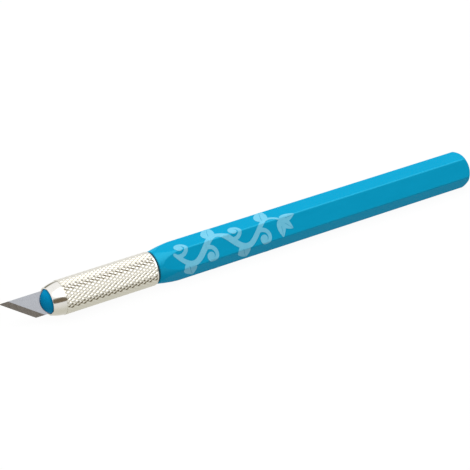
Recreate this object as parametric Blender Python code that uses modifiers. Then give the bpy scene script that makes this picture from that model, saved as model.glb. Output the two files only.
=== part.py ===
"""Craft knife: a hexagonal moulded handle, a knurled screw collar, a two-jaw collet and a slanted blade.

The knife lies on one flat of its handle. +X runs from the blade's tip to the handle's tail, +Z is up, and
the origin is on the surface that the knife lies on, under the middle of its overall length.

Places along the knife are measured from the seam, the plane of the handle's front face: the chuck is at
negative x and the handle at positive x. The collet and the blade are drawn in the chuck's own frame, where
y is the blade's width, towards its back, and z is the blade's normal, towards the upper jaw.
"""

import math

import bmesh
import bpy
from mathutils import Matrix, Vector

MM = 0.001

# Overall
OVERALL_LENGTH = 149.8 * MM
TIP_TO_SEAM = 44.5 * MM
SEAM_X = TIP_TO_SEAM - OVERALL_LENGTH / 2
TURN_STEPS = 60
WELD = 1e-7

# Handle barrel
ACROSS_FLATS = 9.4 * MM
AXIS_HEIGHT = ACROSS_FLATS / 2
CORNER_ROUNDING = 0.5 * MM
HANDLE_LENGTH = OVERALL_LENGTH - TIP_TO_SEAM
FRONT_RADIUS = 4.52 * MM
FRONT_EDGE_ROUNDING = 0.35 * MM
FRONT_TAPER_LENGTH = 9.0 * MM
TURNED_RADIUS = 5.42 * MM
TAIL_DOME_LENGTH = 3.1 * MM
CORE_ACROSS_FLATS = 5.2 * MM
CORE_DEPTH = 100.0 * MM

# Collet: a threaded spigot with a hexagonal shank in the handle's core, and two jaws
FIT_GAP = 0.05 * MM
SHANK_LENGTH = 16.0 * MM
SHANK_ACROSS_FLATS = CORE_ACROSS_FLATS - 2 * FIT_GAP
SPIGOT_CORE_RADIUS = 1.3 * MM
SPIGOT_FRONT_X = -12.4 * MM
THREAD_RADIUS = 3.55 * MM
THREAD_CHAMFER = 0.4 * MM
RELIEF_RADIUS = 3.2 * MM
RELIEF_LENGTH = 1.0 * MM
JAW_ROOT_GAP = 0.15 * MM
JAW_ROOT_RADIUS = 3.3 * MM
JAW_ROOT_LENGTH = 1.4 * MM
JAW_NECK_RADIUS = 3.05 * MM
JAW_HEAD_RADIUS = 3.42 * MM
JAW_HEAD_BACK_X = -27.9 * MM
JAW_HEAD_FRONT_X = -30.9 * MM
JAW_SHOULDER_LENGTH = 0.8 * MM
JAW_NOSE_RADIUS = 3.27 * MM
JAW_NOSE_LENGTH = 2.0 * MM
JAW_PIVOT_OFFSET = 2.0 * MM
SLOT_ANGLE = math.radians(60.0)

# Blade
BLADE_WIDTH = 6.2 * MM
BLADE_THICKNESS = 0.5 * MM
BLADE_TANG_X = -13.4 * MM
BLADE_HEEL_X = -36.1 * MM
BLADE_TANG_CHAMFER = 1.2 * MM
BLADE_SLOT_WIDTH = 1.8 * MM
BLADE_SLOT_ENDS_X = (-25.4 * MM, -16.4 * MM)
BEVEL_WIDTH = 1.5 * MM
EDGE_THICKNESS = 0.03 * MM
SLOT_WIDTH = BLADE_THICKNESS + 2 * FIT_GAP

# Collar and its washer
COLLAR_RADIUS = 4.69 * MM
COLLAR_RIM_X = -31.5 * MM
COLLAR_SHOULDER_X = -27.9 * MM
COLLAR_REAR_X = -0.5 * MM
COLLAR_RIM_RADIUS = 3.8 * MM
COLLAR_NOSE_RADIUS = 4.58 * MM
COLLAR_NOSE_START_DEG = 3.0
COLLAR_MOUTH_RADIUS = 3.374 * MM
COLLAR_BORE_RADIUS = 3.75 * MM
COLLAR_CONE_LENGTH = 2.13 * MM
COLLAR_THREAD_RADIUS = 3.62 * MM
COLLAR_THREAD_LENGTH = 10.0 * MM
COLLAR_EDGE_CHAMFER = 0.2 * MM
KNURL_STARTS = 28
KNURL_ROWS = 29
KNURL_DEPTH = 0.26 * MM
WASHER_INNER_RADIUS = 3.85 * MM
WASHER_OUTER_RADIUS = 4.4 * MM
WASHER_THICKNESS = 0.4 * MM

# Finishes: colour, roughness, metallic
FINISHES = {
    "blue_plastic": ((0.008, 0.29, 0.52), 0.38, 0.0),
    "collet_plastic": ((0.004, 0.21, 0.40), 0.42, 0.0),
    "knurled_aluminium": ((0.86, 0.85, 0.82), 0.30, 1.0),
    "blade_steel": ((0.62, 0.62, 0.64), 0.28, 1.0),
    "dark_rubber": ((0.012, 0.03, 0.04), 0.75, 0.0),
}


def clear_scene():
    for obj in list(bpy.data.objects):
        bpy.data.objects.remove(obj, do_unlink=True)


def new_collection(name):
    collection = bpy.data.collections.new(name)
    bpy.context.scene.collection.children.link(collection)
    return collection


def finish_material(name):
    """The named finish as a Principled material, made once."""
    if name in bpy.data.materials:
        return bpy.data.materials[name]
    colour, roughness, metallic = FINISHES[name]
    material = bpy.data.materials.new(name)
    material.use_nodes = True
    shader = material.node_tree.nodes["Principled BSDF"]
    shader.inputs["Base Color"].default_value = (*colour, 1.0)
    shader.inputs["Roughness"].default_value = roughness
    shader.inputs["Metallic"].default_value = metallic
    material.diffuse_color = (*colour, 1.0)
    return material


def place(obj, collection, parent, finish=None):
    """Links an object under its parent, and gives a part its finish or makes a cutter a helper."""
    collection.objects.link(obj)
    obj.parent = parent
    if finish:
        obj.data.materials.append(finish_material(finish))
        obj.data.shade_smooth()
        obj.data.set_sharp_from_angle(angle=math.radians(30))
    else:
        obj.hide_render = True
        obj.display_type = "WIRE"
    return obj


def shifted(mesh, offset):
    """The same mesh, drawn about an origin at that offset."""
    mesh.transform(Matrix.Translation(-Vector(offset)))
    return mesh


def tidy(bm):
    bmesh.ops.remove_doubles(bm, verts=bm.verts, dist=WELD)
    bmesh.ops.recalc_face_normals(bm, faces=bm.faces)


def mesh_of(obj, name):
    """The evaluated object as a plain welded mesh. The object itself is removed."""
    bpy.context.scene.collection.objects.link(obj)
    graph = bpy.context.evaluated_depsgraph_get()
    mesh = bpy.data.meshes.new_from_object(obj.evaluated_get(graph))
    mesh.name = name
    bpy.data.objects.remove(obj, do_unlink=True)
    bm = bmesh.new()
    bm.from_mesh(mesh)
    tidy(bm)
    bm.to_mesh(mesh)
    bm.free()
    return mesh


def turned_mesh(name, profile, steps=TURN_STEPS, closed=False):
    """A solid turned about the X axis from (x, radius) points; a closed profile makes a ring."""
    edges = [(i, i + 1) for i in range(len(profile) - 1)]
    if closed:
        edges.append((len(profile) - 1, 0))
    outline = bpy.data.meshes.new(name + "_profile")
    outline.from_pydata([(x, 0.0, radius) for x, radius in profile], edges, [])
    obj = bpy.data.objects.new(name + "_profile", outline)
    screw = obj.modifiers.new("Turn", "SCREW")
    screw.axis = "X"
    screw.steps = steps
    screw.render_steps = steps
    screw.use_merge_vertices = True
    screw.merge_threshold = WELD
    return mesh_of(obj, name)


def hexagon_mesh(name, across_flats, x_start, x_end):
    """A hexagonal bar along X, with flats above and below."""
    bm = bmesh.new()
    corner_radius = across_flats / 2 / math.cos(math.radians(30))
    along_x = Matrix.Translation(((x_start + x_end) / 2, 0, 0)) @ Matrix.Rotation(math.radians(90), 4, "Y")
    bmesh.ops.create_cone(
        bm,
        cap_ends=True,
        segments=6,
        radius1=corner_radius,
        radius2=corner_radius,
        depth=x_end - x_start,
        matrix=along_x,
    )
    mesh = bpy.data.meshes.new(name)
    bm.to_mesh(mesh)
    bm.free()
    return mesh


def arc(centre, radii, start_deg, end_deg, steps):
    """Points of an elliptical arc in the (x, radius) plane, ends included."""
    points = []
    for i in range(steps + 1):
        angle = math.radians(start_deg + (end_deg - start_deg) * i / steps)
        points.append((centre[0] + radii[0] * math.cos(angle), centre[1] + radii[1] * math.sin(angle)))
    return points


def add_boolean(obj, operation, cutter):
    modifier = obj.modifiers.new(operation.title(), "BOOLEAN")
    modifier.operation = operation
    modifier.object = cutter


def handle_outline():
    """The turned outline of the handle: a flat front, a long convex taper and a domed tail."""
    rise = TURNED_RADIUS - FRONT_RADIUS
    taper_length = FRONT_TAPER_LENGTH - FRONT_EDGE_ROUNDING
    taper_radius = (taper_length**2 + rise**2) / (2 * rise)
    taper_turn = math.degrees(math.asin(taper_length / taper_radius))
    taper_centre = (FRONT_TAPER_LENGTH, TURNED_RADIUS - taper_radius)
    taper = arc(taper_centre, (taper_radius, taper_radius), 90 + taper_turn, 90, 8)
    edge_centre = (FRONT_EDGE_ROUNDING, FRONT_RADIUS - FRONT_EDGE_ROUNDING)
    edge = arc(edge_centre, (FRONT_EDGE_ROUNDING, FRONT_EDGE_ROUNDING), 180, 90 + taper_turn, 3)
    dome_centre = (HANDLE_LENGTH - TAIL_DOME_LENGTH, 0.0)
    dome = arc(dome_centre, (TAIL_DOME_LENGTH, TURNED_RADIUS), 90, 0, 9)
    return [(0.0, 0.0)] + edge + taper[1:] + dome


def make_handle_barrel(axis, parts, cutters):
    """Hexagonal bar stock, turned down at both ends and cored out from the front."""
    margin = 5 * MM
    stock = hexagon_mesh("handle_barrel", ACROSS_FLATS, -margin, HANDLE_LENGTH + margin)
    barrel = place(bpy.data.objects.new("handle_barrel", stock), parts, axis, "blue_plastic")
    rounding = barrel.modifiers.new("Corners", "BEVEL")
    rounding.width = CORNER_ROUNDING * math.tan(math.radians(30))
    rounding.segments = 3
    rounding.limit_method = "ANGLE"
    rounding.angle_limit = math.radians(45)
    outline = turned_mesh("handle_outline", handle_outline())
    core = hexagon_mesh("handle_core", CORE_ACROSS_FLATS, -margin, CORE_DEPTH)
    for operation, mesh in (("INTERSECT", outline), ("DIFFERENCE", core)):
        cutter = place(bpy.data.objects.new(mesh.name, mesh), cutters, axis)
        add_boolean(barrel, operation, cutter)


def make_collet_spigot(chuck, parts, cutters):
    """The collet's fixed end: a threaded stub in front of the seam, on a hexagonal shank behind it."""
    relief_front = -RELIEF_LENGTH - WASHER_THICKNESS
    profile = [
        (SPIGOT_FRONT_X, 0.0),
        (SPIGOT_FRONT_X, THREAD_RADIUS - THREAD_CHAMFER),
        (SPIGOT_FRONT_X + THREAD_CHAMFER, THREAD_RADIUS),
        (relief_front - THREAD_CHAMFER, THREAD_RADIUS),
        (relief_front, RELIEF_RADIUS),
        (-FIT_GAP, RELIEF_RADIUS),
        (-FIT_GAP, 0.0),
    ]
    mesh = turned_mesh("collet_spigot", profile)
    spigot = place(bpy.data.objects.new("collet_spigot", mesh), parts, chuck, "collet_plastic")
    overlap = 2 * MM
    shank = hexagon_mesh("collet_shank", SHANK_ACROSS_FLATS, -overlap, SHANK_LENGTH)
    core_profile = [
        (SPIGOT_FRONT_X / 2, 0.0),
        (SPIGOT_FRONT_X / 2, SPIGOT_CORE_RADIUS),
        (SHANK_LENGTH + overlap, SPIGOT_CORE_RADIUS),
        (SHANK_LENGTH + overlap, 0.0),
    ]
    core = turned_mesh("collet_core", core_profile, steps=24)
    for operation, cutter_mesh in (("UNION", shank), ("DIFFERENCE", core)):
        cutter = place(bpy.data.objects.new(cutter_mesh.name, cutter_mesh), cutters, chuck)
        add_boolean(spigot, operation, cutter)


def collet_profile():
    """The outline of both jaws together: domed nose, clamping cone, head, neck and root."""
    root_x = SPIGOT_FRONT_X - JAW_ROOT_GAP
    dome_radius = (JAW_NOSE_RADIUS**2 + JAW_NOSE_LENGTH**2) / (2 * JAW_NOSE_LENGTH)
    dome_turn = math.degrees(math.asin(JAW_NOSE_RADIUS / dome_radius))
    dome_centre = (COLLAR_RIM_X - JAW_NOSE_LENGTH + dome_radius, 0.0)
    nose = arc(dome_centre, (dome_radius, dome_radius), 180, 180 - dome_turn, 8)
    return nose + [
        (JAW_HEAD_FRONT_X, JAW_HEAD_RADIUS),
        (JAW_HEAD_BACK_X, JAW_HEAD_RADIUS),
        (JAW_HEAD_BACK_X + JAW_SHOULDER_LENGTH, JAW_NECK_RADIUS),
        (root_x - JAW_ROOT_LENGTH, JAW_NECK_RADIUS),
        (root_x - JAW_ROOT_LENGTH / 2, JAW_ROOT_RADIUS),
        (root_x, JAW_ROOT_RADIUS),
        (root_x, 0.0),
    ]


def make_collet_jaws(chuck, parts):
    """Two half-round jaws either side of the blade's slot, each hinged where its prong bends."""
    for name, side in (("collet_jaw_upper", 1), ("collet_jaw_lower", -1)):
        mesh = turned_mesh(name, collet_profile())
        bm = bmesh.new()
        bm.from_mesh(mesh)
        cut = bmesh.ops.bisect_plane(
            bm,
            geom=[*bm.verts, *bm.edges, *bm.faces],
            dist=WELD,
            plane_co=(0, 0, side * SLOT_WIDTH / 2),
            plane_no=(0, 0, side),
            clear_inner=True,
        )
        rim = [item for item in cut["geom_cut"] if isinstance(item, bmesh.types.BMEdge)]
        bmesh.ops.contextual_create(bm, geom=rim)
        tidy(bm)
        bm.to_mesh(mesh)
        bm.free()
        pivot = (SPIGOT_FRONT_X, 0.0, side * JAW_PIVOT_OFFSET)
        jaw = place(bpy.data.objects.new(name, shifted(mesh, pivot)), parts, chuck, "collet_plastic")
        jaw.location = pivot


def blade_outline():
    """The blade's corners, from the tip round the cutting edge and the tang, as (x, y)."""
    half = BLADE_WIDTH / 2
    return [
        (-TIP_TO_SEAM, half),
        (BLADE_HEEL_X, -half),
        (BLADE_TANG_X - BLADE_TANG_CHAMFER, -half),
        (BLADE_TANG_X, -half + BLADE_TANG_CHAMFER),
        (BLADE_TANG_X, half - BLADE_TANG_CHAMFER),
        (BLADE_TANG_X - BLADE_TANG_CHAMFER, half),
    ]


def tang_slot():
    """The oblong hole in the tang, as (x, y)."""
    radius = BLADE_SLOT_WIDTH / 2
    front, back = BLADE_SLOT_ENDS_X
    return arc((front + radius, 0), (radius, radius), 90, 270, 6) + arc(
        (back - radius, 0), (radius, radius), 270, 450, 6
    )


def make_blade(chuck, parts, cutters):
    """A flat strip with a slanted cutting edge, ground from both sides, and an oblong hole in its tang."""
    curve = bpy.data.curves.new("blade_outline", "CURVE")
    curve.dimensions = "2D"
    curve.fill_mode = "BOTH"
    curve.extrude = BLADE_THICKNESS / 2
    for outline in (blade_outline(), tang_slot()):
        spline = curve.splines.new("POLY")
        spline.points.add(len(outline) - 1)
        for point, (x, y) in zip(spline.points, outline):
            point.co = (x, y, 0.0, 1.0)
        spline.use_cyclic_u = True
    mesh = mesh_of(bpy.data.objects.new("blade_outline", curve), "blade")
    blade = place(bpy.data.objects.new("blade", mesh), parts, chuck, "blade_steel")
    tip, heel = (Vector((*corner, 0.0)) for corner in blade_outline()[:2])
    for side in (1, -1):
        cutter = grinding_cutter(tip, heel, side)
        add_boolean(blade, "DIFFERENCE", place(cutter, cutters, chuck))


def grinding_cutter(tip, heel, side):
    """A block whose one face is the ground bevel on that side of the cutting edge."""
    along = (heel - tip).normalized()
    outward = Vector((along.y, -along.x, 0.0))
    if outward.x > 0:
        outward.negate()
    drop = (BLADE_THICKNESS - EDGE_THICKNESS) / 2
    slope = (outward * BEVEL_WIDTH - Vector((0, 0, side * drop))).normalized()
    lift = along.cross(slope)
    if lift.z * side < 0:
        lift.negate()
    size = Vector(((heel - tip).length * 2, 4 * BEVEL_WIDTH, 3 * BLADE_THICKNESS))
    edge_middle = (tip + heel) / 2 + Vector((0, 0, side * EDGE_THICKNESS / 2))
    turn = Matrix((along, slope, lift)).transposed().to_4x4()
    bm = bmesh.new()
    bmesh.ops.create_cube(bm, size=1.0, matrix=Matrix.Diagonal((*size, 1.0)))
    bmesh.ops.translate(bm, verts=bm.verts, vec=(0, 0, size.z / 2))
    bmesh.ops.transform(bm, verts=bm.verts, matrix=Matrix.Translation(edge_middle) @ turn)
    bmesh.ops.recalc_face_normals(bm, faces=bm.faces)
    name = "grind_upper" if side > 0 else "grind_lower"
    mesh = bpy.data.meshes.new(name)
    bm.to_mesh(mesh)
    bm.free()
    return bpy.data.objects.new(name, mesh)


def collar_nose():
    """The collar's plain nose: an arc that leaves the grip at a slight slope and steepens to the rim."""
    chord = Vector((COLLAR_SHOULDER_X - COLLAR_RIM_X, COLLAR_NOSE_RADIUS - COLLAR_RIM_RADIUS))
    chord_deg = math.degrees(math.atan2(chord.y, chord.x))
    turn_deg = 2 * (chord_deg - COLLAR_NOSE_START_DEG)
    radius = chord.length / (2 * math.sin(math.radians(turn_deg / 2)))
    slope = math.radians(COLLAR_NOSE_START_DEG)
    centre = (COLLAR_SHOULDER_X + radius * math.sin(slope), COLLAR_NOSE_RADIUS - radius * math.cos(slope))
    start_deg = 90 + COLLAR_NOSE_START_DEG
    return arc(centre, (radius, radius), start_deg, start_deg + turn_deg, 8)


def collar_profile():
    """The plain surfaces of the collar, from the front of the knurl round the nose and the bore to its back."""
    thread_end = COLLAR_REAR_X - COLLAR_THREAD_LENGTH
    rear_radius = COLLAR_RADIUS - KNURL_DEPTH
    return collar_nose() + [
        (COLLAR_RIM_X, COLLAR_MOUTH_RADIUS),
        (COLLAR_RIM_X + COLLAR_CONE_LENGTH, COLLAR_BORE_RADIUS),
        (thread_end, COLLAR_BORE_RADIUS),
        (thread_end, COLLAR_THREAD_RADIUS),
        (COLLAR_REAR_X, COLLAR_THREAD_RADIUS),
        (COLLAR_REAR_X, rear_radius),
        (COLLAR_REAR_X - COLLAR_EDGE_CHAMFER, rear_radius),
    ]


def knurl_rows(bm):
    """Rows of crests and crossings for a diamond knurl, back to front. Odd rows are turned half a diamond."""
    start_x = COLLAR_REAR_X - COLLAR_EDGE_CHAMFER
    row_step = (COLLAR_SHOULDER_X - start_x) / KNURL_ROWS
    rows = []
    for row in range(KNURL_ROWS + 1):
        points = []
        for i in range(2 * KNURL_STARTS):
            crest = (i + row) % 2
            radius = COLLAR_RADIUS if crest else COLLAR_RADIUS - KNURL_DEPTH
            angle = math.pi * i / KNURL_STARTS
            position = (start_x + row * row_step, radius * math.sin(angle), radius * math.cos(angle))
            points.append(bm.verts.new(position))
        rows.append(points)
    return rows


def make_knurled_collar(chuck, parts):
    """The screw collar: a turned shell whose grip is a diamond knurl of crossed helices."""
    around = 2 * KNURL_STARTS
    bm = bmesh.new()
    bm.from_mesh(turned_mesh("knurled_collar", collar_profile(), steps=around))
    shell_edges = [edge for edge in bm.edges if edge.is_boundary]
    rows = knurl_rows(bm)
    for back, front in zip(rows, rows[1:]):
        for i in range(around):
            j = (i + 1) % around
            corners = (back[i], back[j], front[j], front[i])
            split = 0 if corners[0].co.yz.length < corners[1].co.yz.length else 1
            a, b, c, d = corners[split:] + corners[:split]
            bm.faces.new((a, b, c))
            bm.faces.new((a, c, d))
    for x, row in ((COLLAR_REAR_X - COLLAR_EDGE_CHAMFER, rows[0]), (COLLAR_SHOULDER_X, rows[-1])):
        ring = [edge for edge in shell_edges if abs(edge.verts[0].co.x - x) < WELD * 10]
        row_edges = [bm.edges.get((row[i], row[(i + 1) % around])) for i in range(around)]
        bmesh.ops.bridge_loops(bm, edges=ring + row_edges)
    tidy(bm)
    mesh = bpy.data.meshes.new("knurled_collar")
    bm.to_mesh(mesh)
    bm.free()
    place(bpy.data.objects.new("knurled_collar", mesh), parts, chuck, "knurled_aluminium")


def make_friction_washer(chuck, parts):
    """The thin dark washer between the collar's back and the handle's shoulder."""
    back = -FIT_GAP
    front = back - WASHER_THICKNESS
    profile = [
        (front, WASHER_INNER_RADIUS),
        (front, WASHER_OUTER_RADIUS),
        (back, WASHER_OUTER_RADIUS),
        (back, WASHER_INNER_RADIUS),
    ]
    mesh = turned_mesh("friction_washer", profile, closed=True)
    place(bpy.data.objects.new("friction_washer", mesh), parts, chuck, "dark_rubber")


def main():
    clear_scene()
    parts = new_collection("craft_knife")
    cutters = new_collection("craft_knife_cutters")
    axis = bpy.data.objects.new("knife_axis", None)
    axis.location = (SEAM_X, 0.0, AXIS_HEIGHT)
    parts.objects.link(axis)
    chuck = bpy.data.objects.new("chuck_frame", None)
    chuck.rotation_euler = (SLOT_ANGLE, 0.0, 0.0)
    chuck.parent = axis
    parts.objects.link(chuck)
    make_handle_barrel(axis, parts, cutters)
    make_collet_spigot(chuck, parts, cutters)
    make_collet_jaws(chuck, parts)
    make_blade(chuck, parts, cutters)
    make_friction_washer(chuck, parts)
    make_knurled_collar(chuck, parts)


main()
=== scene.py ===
"""Looks of the craft knife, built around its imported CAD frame.

Every piece is drawn in millimetres along the knife's own axis and then set into the frame. Places along
the knife are measured from the seam, the plane of the handle's front face: the chuck is at negative x and
the handle at positive x. In the chuck's own frame y is the blade's width, towards its back, and z is the
blade's normal, towards the upper jaw.
"""

import math

import bmesh
import bpy
from mathutils import Matrix, Vector
from mathutils.geometry import delaunay_2d_cdt


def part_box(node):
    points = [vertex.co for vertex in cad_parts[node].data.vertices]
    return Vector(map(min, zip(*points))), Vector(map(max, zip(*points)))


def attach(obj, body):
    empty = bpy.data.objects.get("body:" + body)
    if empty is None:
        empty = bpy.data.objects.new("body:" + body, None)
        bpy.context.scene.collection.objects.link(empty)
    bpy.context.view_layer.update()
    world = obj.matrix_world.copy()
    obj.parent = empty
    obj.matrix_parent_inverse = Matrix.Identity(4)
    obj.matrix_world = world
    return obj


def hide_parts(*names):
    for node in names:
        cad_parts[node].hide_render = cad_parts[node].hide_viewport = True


MM = 0.001

# Meshes, lengths in mm
WELD_DISTANCE = 1e-4
SLIVER_LENGTH = 1e-5
TINY = 1e-6
MATCH_DIGITS = 5
TRIANGLES_INSIDE = 1
SHARP_DEG = 32
TURNED_SIDES = 96

# Handle, lengths in mm
FLAT_COUNT = 6
FIRST_FLAT_DEG = 30
CORNER_ROUNDING = 0.5
FRONT_RADIUS = 4.52
FRONT_EDGE_ROUNDING = 0.35
FRONT_TAPER_LENGTH = 9.0
TURNED_RADIUS = 5.42
TAIL_DOME_LENGTH = 3.1
SCALLOP_SOFTNESS = 0.03
CORE_ACROSS_FLATS = 5.2
CORE_DEPTH = 100.0
POINTS_PER_FLAT = 22
POINTS_PER_CORNER = 7
EDGE_STEPS = 8
TAPER_STEPS = 64
BARREL_STEPS = 16
DOME_STEPS = 40
RIDGE_CLEARANCE = 1e-4
# How fast the painted highlight on the tapered front rises with height
TAPER_HIGHLIGHT_RISE = 1.6

# Printed vine on the handle, lengths in mm
PRINT_START = 4.8
PRINT_END = 38.5
PRINT_LIFT = 0.012
PRINT_THICKNESS = 0.025
PRINT_TAPER_STEP = 0.5
PRINT_MARGINS = (3.0, 10.0)
VINE_LANES = 2
VINE_FIRST_LANE = 1.0
VINE_WAVELENGTH = 17.0
VINE_AMPLITUDE = 2.9
VINE_PHASE = 1.0
STEM_STEPS = 110
STEM_WIDTH = 0.5
STEM_SWELL = 1.25
STEM_LEAN = 0.8
STEM_FULLNESS = 0.5
CURL_STEPS = 44
CURL_SIZE = 5.6
CURL_ANGLE_DEG = 30
CURL_TURNS = 1.3
CURL_STEADY_TURN = 0.05
CURL_TIGHTNESS = 0.45
CURL_TIGHTENING = 1.1
CURL_STRIDE = 0.075
CURL_SHRINKING = 0.75
CURL_WIDTH = 1.2
CURL_THINNING = 0.45
BUD_RADIUS = 0.85
BUD_SIDES = 24
LEAF_STEPS = 22
LEAF_SIZE = (6.0, 3.8)
LEAF_PLACE = 0.14
LEAF_ANGLE_DEG = 42
LEAF_BEND = 0.16
LEAF_LEAN = 0.72
LEAF_FULLNESS = 0.8
MIDRIB_GAP = 0.08
MIDRIB_THINNING = 0.7
TIP_LEAF_SIZE = (5.0, 2.6)
TIP_LEAF_ANGLES_DEG = (-38, 0, 38)
TIP_LEAF_BEND = 0.004

# Collar and washer, lengths in mm
COLLAR_RADIUS = 4.69
COLLAR_RIM = -31.5
COLLAR_SHOULDER = -27.9
COLLAR_REAR = -0.5
COLLAR_RIM_RADIUS = 3.8
COLLAR_NOSE_RADIUS = 4.58
COLLAR_NOSE_START_DEG = 3.0
COLLAR_NOSE_STEPS = 36
COLLAR_MOUTH_RADIUS = 3.374
COLLAR_LIP_ROUNDING = 0.07
COLLAR_LIP_START_DEG = 110
COLLAR_LIP_STEPS = 5
COLLAR_BORE_RADIUS = 3.75
COLLAR_CONE_LENGTH = 2.13
COLLAR_THREAD_RADIUS = 3.62
COLLAR_THREAD_LENGTH = 10.0
COLLAR_EDGE_CHAMFER = 0.15
COLLAR_LAND_LENGTH = 0.5
COLLAR_LAND_DROP = 0.07
KNURL_STARTS = 29
KNURL_PITCHES = 15
KNURL_DEPTH = 0.18
KNURL_FLANK = 0.30
WASHER_INNER_RADIUS = 3.85
WASHER_OUTER_RADIUS = 4.4
WASHER_THICKNESS = 0.4
WASHER_EDGE_ROUNDING = 0.12
WASHER_EDGE_STEPS = 4

# Collet, lengths in mm
SLOT_ANGLE_DEG = 60.0
FIT_GAP = 0.05
SLOT_WIDTH = 0.6
SHANK_LENGTH = 16.0
SHANK_ACROSS_FLATS = 5.1
SPIGOT_FRONT = -12.4
SPIGOT_CORE_RADIUS = 1.3
THREAD_RADIUS = 3.55
THREAD_DEPTH = 0.4
THREAD_PITCH = 0.8
THREAD_CHAMFER = 0.4
THREAD_FLAT = 0.125
THREAD_ROWS = 10
THREAD_SPARE_TURNS = 3
RELIEF_RADIUS = 3.1
RELIEF_LENGTH = 1.0
JAW_ROOT_GAP = 0.15
JAW_ROOT_RADIUS = 3.3
JAW_ROOT_LENGTH = 1.4
JAW_NECK_RADIUS = 3.05
JAW_HEAD_RADIUS = 3.42
JAW_HEAD_BACK = -27.9
JAW_HEAD_FRONT = -30.9
JAW_SHOULDER_LENGTH = 0.8
JAW_NOSE_RADIUS = 3.27
JAW_NOSE_LENGTH = 2.0
JAW_NOSE_STEPS = 24
JAW_STEPS = 48
JAW_EDGE_ROUNDING = 0.08
JAW_EDGE_SEGMENTS = 3
JAW_EDGE_DEG = 55

# Blade, lengths in mm
BLADE_TIP = -44.5
BLADE_HEEL = -35.7
BLADE_TANG = -13.4
BLADE_WIDTH = 6.2
BLADE_THICKNESS = 0.5
BLADE_TANG_CHAMFER = 1.2
BLADE_SLOT_WIDTH = 1.8
BLADE_SLOT_ENDS = (-25.4, -16.4)
BLADE_SLOT_STEPS = 12
BLADE_SHARP_DEG = 4
BEVEL_WIDTH = 1.5
EDGE_THICKNESS = 0.03

# Colours, linear
HANDLE_BLUE = (0.002, 0.206, 0.352)
HANDLE_BLUE_DEEP = (0.0016, 0.197, 0.338)
# Painted highlight colour for the upper ridges and the tapered front in line with them
HANDLE_RIDGE_HIGHLIGHT = (0.012, 0.255, 0.405)
PRINT_PALE = (0.10, 0.335, 0.455)
COLLET_BLUE = (0.0, 0.157, 0.315)
ALUMINIUM = (0.82, 0.81, 0.785)
# Painted shade in the knurl's grooves and pits
ALUMINIUM_GROOVE_SHADE = (0.64, 0.615, 0.55)
# Painted shade where the collar is occluded, as next to the floor
ALUMINIUM_PAINTED_SHADE = (0.55, 0.53, 0.44)
STEEL = (0.445, 0.465, 0.51)
STEEL_BEVEL = (0.27, 0.25, 0.23)
# Dark rubber, its teal tone also painted shade for the seam's gap
SEAM_SHADE_RUBBER = (0.004, 0.03, 0.045)

# Surfaces: noise as features per mm along x, y and z, bump as strength and depth in mm
NOISE_START = 0.3
NOISE_END = 0.7
FINE_DETAIL = 2.0
MEDIUM_DETAIL = 3.0
RICH_DETAIL = 4.0
HANDLE_ROUGHNESS = 0.3
HANDLE_SPECULAR = 0.006
COLLET_ROUGHNESS = 0.4
COLLET_SPECULAR = 0.02
COLLET_DEEP_SHARE = 0.9
FLOW_NOISE = (0.12, 0.45, 0.45)
GRAIN_NOISE = (9.0, 9.0, 9.0)
GRAIN_GLOSS = 0.05
GRAIN_BUMP = (0.25, 0.006)
INK_ROUGHNESS = 0.5
INK_SPECULAR = 0.12
INK_SHARE = 0.85
INK_BLUE_SHARE = 0.15
INK_PATCH_NOISE = (0.5, 0.5, 0.5)
INK_GRAIN_NOISE = (7.0, 7.0, 7.0)
INK_BUMP = (0.2, 0.005)
ALUMINIUM_ROUGHNESS = (0.08, 0.13)
# Relief over which the painted shade in the knurl's grooves fades out
GROOVE_SHADE_RELIEF = (0.05, 0.75)
MOTTLE_NOISE = (0.8, 0.8, 0.8)
WORN_SHARE = 0.93
# Reach of the occlusion that paints shade on the collar, and the span it is spread over
SHADE_REACH = 12.0
SHADE_SPAN = (0.62, 1.0)
TURNING_NOISE = (14.0, 0.15, 0.15)
TURNING_BUMP = (0.2, 0.008)
STEEL_ROUGHNESS = 0.18
STEEL_LINES = (6.0, 0.25, 1.0)
BEVEL_ROUGHNESS = 0.42
BEVEL_LINES = (9.0, 0.4, 1.0)
LINE_GLOSS = 0.06
LINE_BUMP = (0.35, 0.006)
DULL_SHARE = 0.86
CLOUD_NOISE = (0.35, 0.35, 0.35)
CLOUD_STRENGTH = 0.5
FADED_SHARE = 0.92
RUBBER_ROUGHNESS = 0.8
RUBBER_SPECULAR = 0.2
RUBBER_FADING = (1.8, 0.003)
SPECKLE_NOISE = (4.0, 4.0, 4.0)
SPECKLE_BUMP = (0.3, 0.01)

# Camera, fitted to the handle's edges, with lengths in mm and its clipping in m
CAMERA_TURN_DEG = 33.04
CAMERA_ELEVATION_DEG = 29.95
CAMERA_DISTANCE = 530.8
CAMERA_TARGET = 28.84
CAMERA_CLIP = (0.01, 20.0)
TARGET_PIXEL = (243.35, 238.4)
FOCAL_PIXELS = 1948.0
IMAGE_PIXELS = 470
SENSOR_WIDTH = 36.0

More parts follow.
